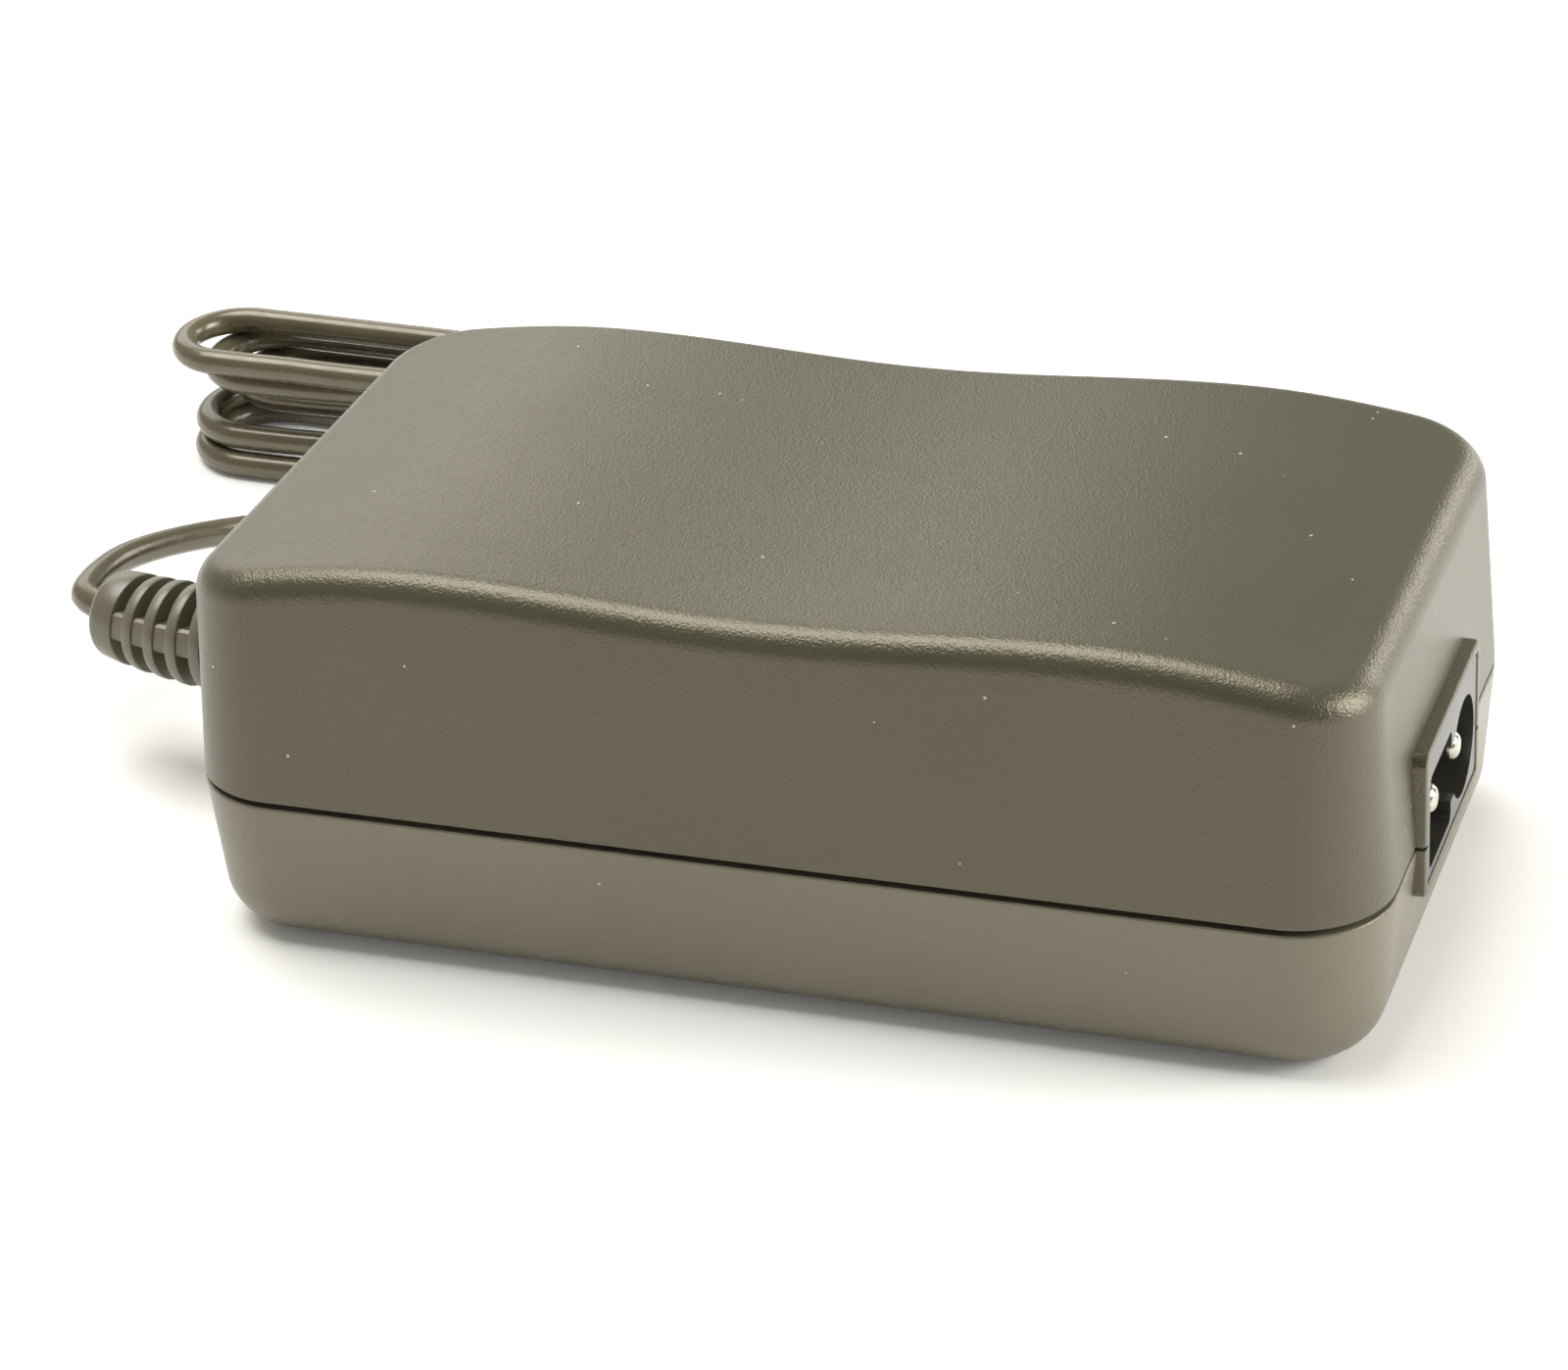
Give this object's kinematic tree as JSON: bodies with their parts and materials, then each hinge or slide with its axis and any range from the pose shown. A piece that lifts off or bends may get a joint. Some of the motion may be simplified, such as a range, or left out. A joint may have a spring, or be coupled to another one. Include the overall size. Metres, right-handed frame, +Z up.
{
  "type": "laptop_power_adapter",
  "caption": "Compact laptop power adapter: wavy two-shell housing, figure-8 mains inlet, slotted strain relief, thin DC lead tied in a hank and a barrel plug",
  "frame": {"origin": "centre of the flat underside of the housing", "axes": "+X toward the mains inlet (the DC lead leaves at -X), +Y toward the side behind which the lead lies in its hank, +Z up"},
  "size_m": [0.1374, 0.0978, 0.0343],
  "materials": {
    "housing_plastic": "fine spark-eroded texture, semi matte",
    "inlet_plastic": "smooth matte",
    "pin_nickel": "bright nickel plate",
    "soft_pvc": "satin extruded and moulded PVC",
    "tie_nylon": "woven loop strap",
    "contact_brass": "plated brass",
    "board_laminate": "glass epoxy laminate",
    "insulating_film": "vulcanised fibre sheet",
    "moulded_package": "moulded epoxy",
    "sleeve_dark": "shrunk sleeve",
    "sleeve_green": "shrunk sleeve",
    "film_box_yellow": "moulded box",
    "disc_blue": "dipped lacquer",
    "disc_green": "dipped lacquer",
    "ferrite": "sintered ferrite",
    "bobbin_phenolic": "moulded phenolic",
    "winding_tape": "polyester tape",
    "copper_wire": "enamelled copper",
    "sink_aluminium": "mill finish sheet",
    "screw_steel": "zinc plate",
    "wire_brown": "PVC insulation",
    "wire_blue": "PVC insulation",
    "wire_red": "PVC insulation",
    "wire_black": "PVC insulation"
  },
  "bodies": {
    "root": {"upper_shell": "housing_plastic", "lower_shell": "housing_plastic", "inlet_body": "inlet_plastic", "inlet_pin_line": "pin_nickel", "inlet_pin_neutral": "pin_nickel", "strain_relief": "soft_pvc", "dc_cord_gripped": "soft_pvc", "dc_cord_lead": "soft_pvc", "dc_cord_hank": "soft_pvc", "dc_cord_tail": "soft_pvc", "hank_tie": "tie_nylon", "plug_grip": "soft_pvc", "plug_barrel": "pin_nickel", "plug_insulator": "inlet_plastic", "plug_contact": "contact_brass", "circuit_board": "board_laminate", "insulating_sheet": "insulating_film", "inlet_wire_line": "wire_brown", "inlet_wire_neutral": "wire_blue", "fuse": "moulded_package", "thermistor": "disc_green", "x_capacitor": "film_box_yellow", "choke_core": "ferrite", "choke_windings": "copper_wire", "bridge_rectifier": "moulded_package", "bulk_capacitor": "sleeve_dark", "transformer_core": "ferrite", "transformer_bobbin": "bobbin_phenolic", "transformer_winding": "winding_tape", "primary_heatsink": "sink_aluminium", "switching_transistor": "moulded_package", "secondary_heatsink": "sink_aluminium", "output_rectifier": "moulded_package", "transistor_screws": "screw_steel", "output_capacitors": "sleeve_green", "output_choke": "ferrite", "y_capacitor": "disc_blue", "optocoupler": "moulded_package", "controller_chip": "moulded_package", "output_wire_positive": "wire_red", "output_wire_negative": "wire_black"}
  },
  "joints": []
}
